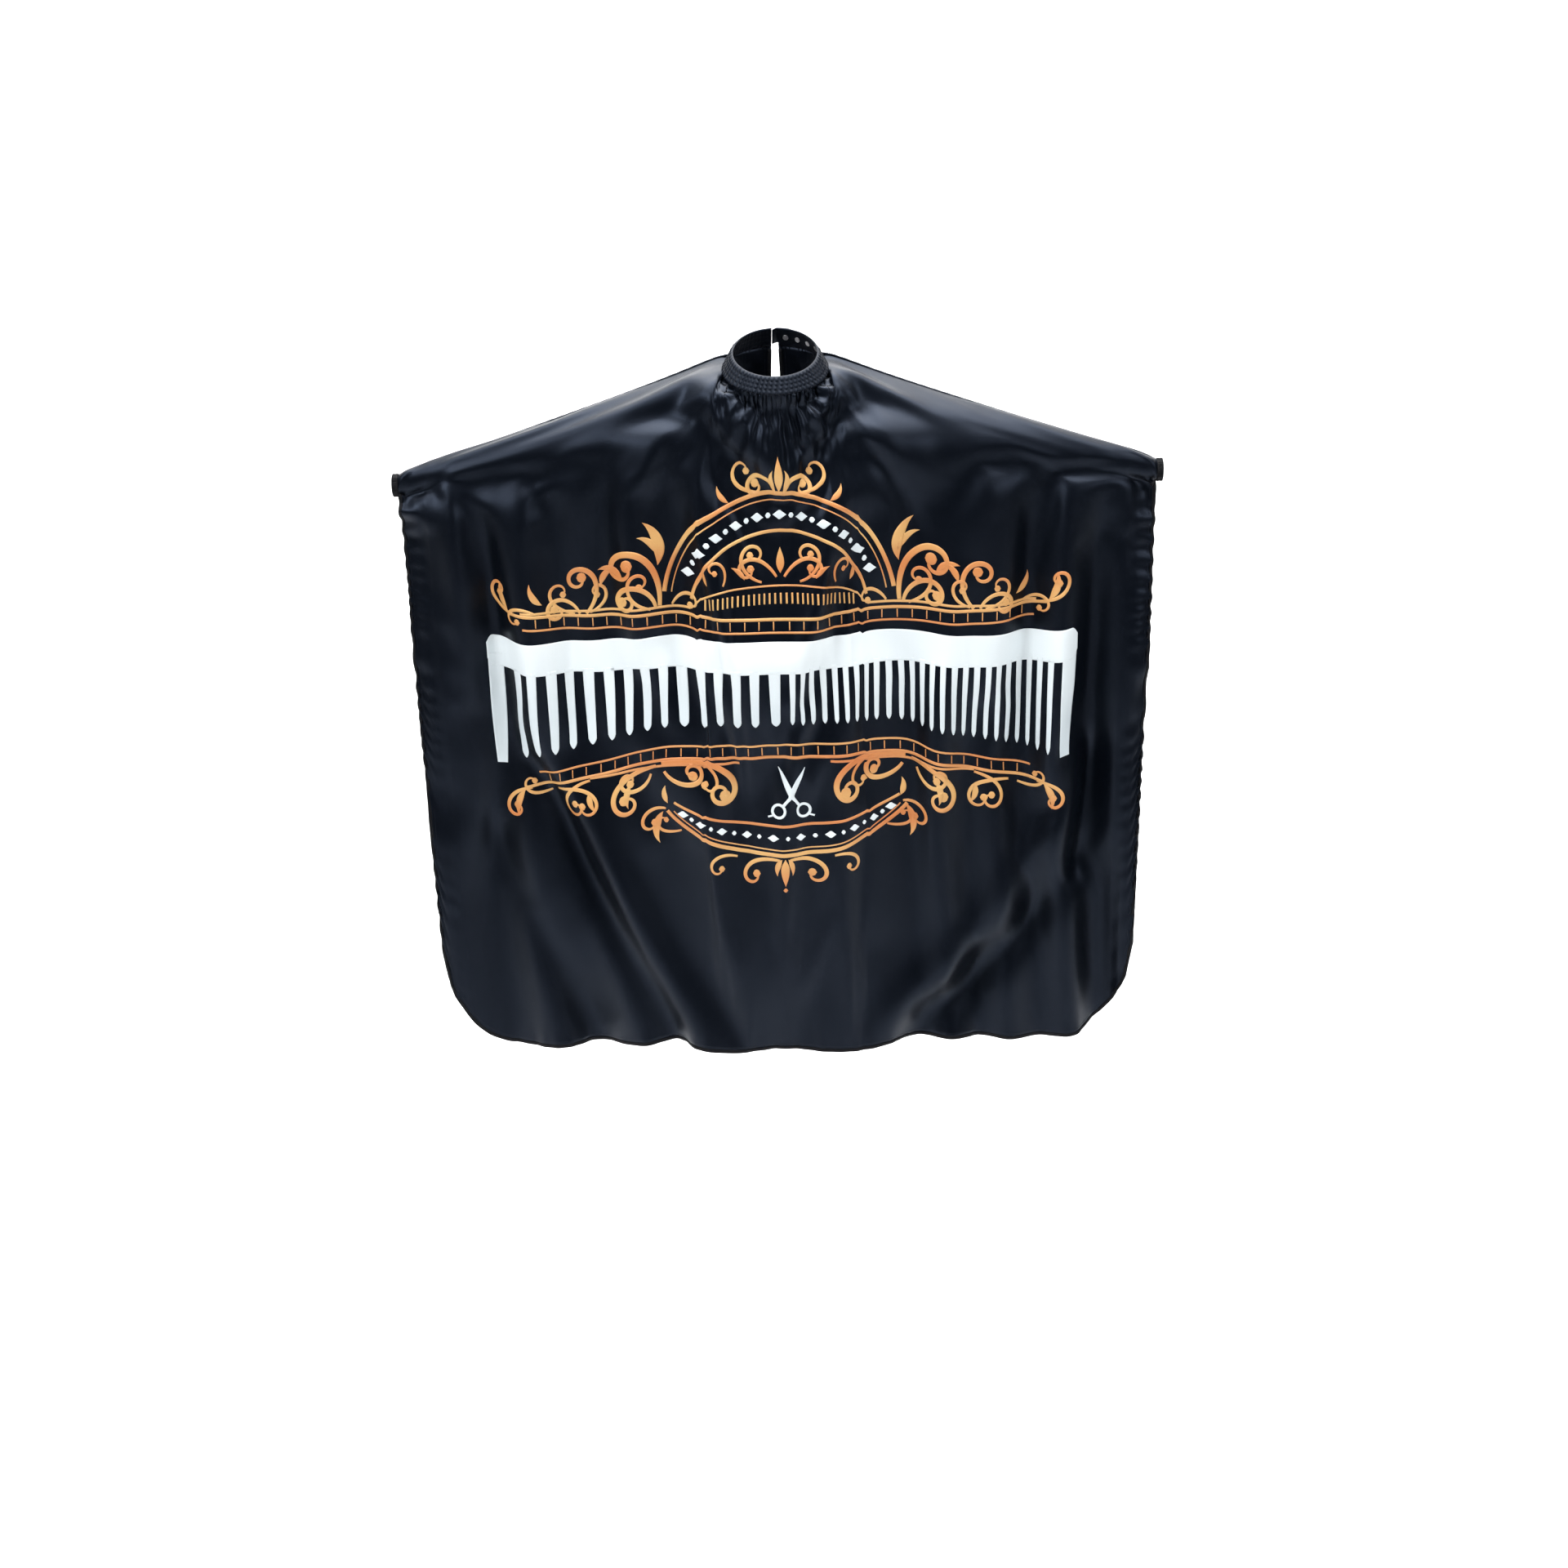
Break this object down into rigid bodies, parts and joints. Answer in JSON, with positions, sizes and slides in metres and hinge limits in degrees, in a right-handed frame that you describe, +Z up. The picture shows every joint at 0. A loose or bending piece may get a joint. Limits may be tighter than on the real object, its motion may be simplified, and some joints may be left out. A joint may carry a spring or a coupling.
{
  "type": "barber cape",
  "caption": "Haircut cape of thin satin with a shirred elastic neckband, press-stud closure behind the neck, bound hem and elastic wrist openings.",
  "frame": {"origin": "middle of the neck opening, in the plane of the neckband's top edge", "axes": "+Z up, -Y towards the wearer's front, +X towards the wearer's left hand; left and right in the names are as seen from the front, so right is +X"},
  "size_m": [1.284, 0.19, 1.2335],
  "materials": {
    "satin": "dark navy satin weave polyester, soft sheen",
    "binding": "black woven bias tape, matt",
    "elastic": "black ribbed elastic, matt",
    "print_white": "white dye print in the satin",
    "print_gold": "gold to copper dye print in the satin",
    "thread": "black sewing thread",
    "snap_metal": "nickel-plated brass, satin"
  },
  "bodies": {
    "cape": {"front_panel": "satin", "back_yoke_left": "satin", "back_yoke_right": "satin", "front_binding": "binding", "neckband": "satin", "neckband_elastic": "elastic", "wrist_elastic_left": "elastic", "wrist_elastic_right": "elastic", "snap_stud_1": "snap_metal", "snap_stud_2": "snap_metal", "snap_stud_3": "snap_metal", "snap_stud_4": "snap_metal", "snap_post_1": "snap_metal", "snap_post_2": "snap_metal", "snap_post_3": "snap_metal", "snap_post_4": "snap_metal"},
    "tab": {"closure_tab": "satin", "snap_cap": "snap_metal", "snap_socket": "snap_metal"},
    "flap_left": {"back_flap_left": "satin", "back_binding_left": "binding"},
    "flap_right": {"back_flap_right": "satin", "back_binding_right": "binding"}
  },
  "joints": [
    {"name": "tab_hinge", "type": "hinge", "parent": "cape", "child": "tab", "pos_m": [-0.00519, 0.08298, 0.01951], "axis": [0.0324, -0.3788, 0.9249], "range_deg": [0, 100]},
    {"name": "flap_left_swing", "type": "hinge", "parent": "cape", "child": "flap_left", "pos_m": [0, 0.088, -0.048], "axis": [0.9518, 0.1024, 0.2892], "range_deg": [0, 70]},
    {"name": "flap_right_swing", "type": "hinge", "parent": "cape", "child": "flap_right", "pos_m": [0, 0.088, -0.048], "axis": [0.9518, -0.1024, -0.2892], "range_deg": [0, 70]}
  ]
}
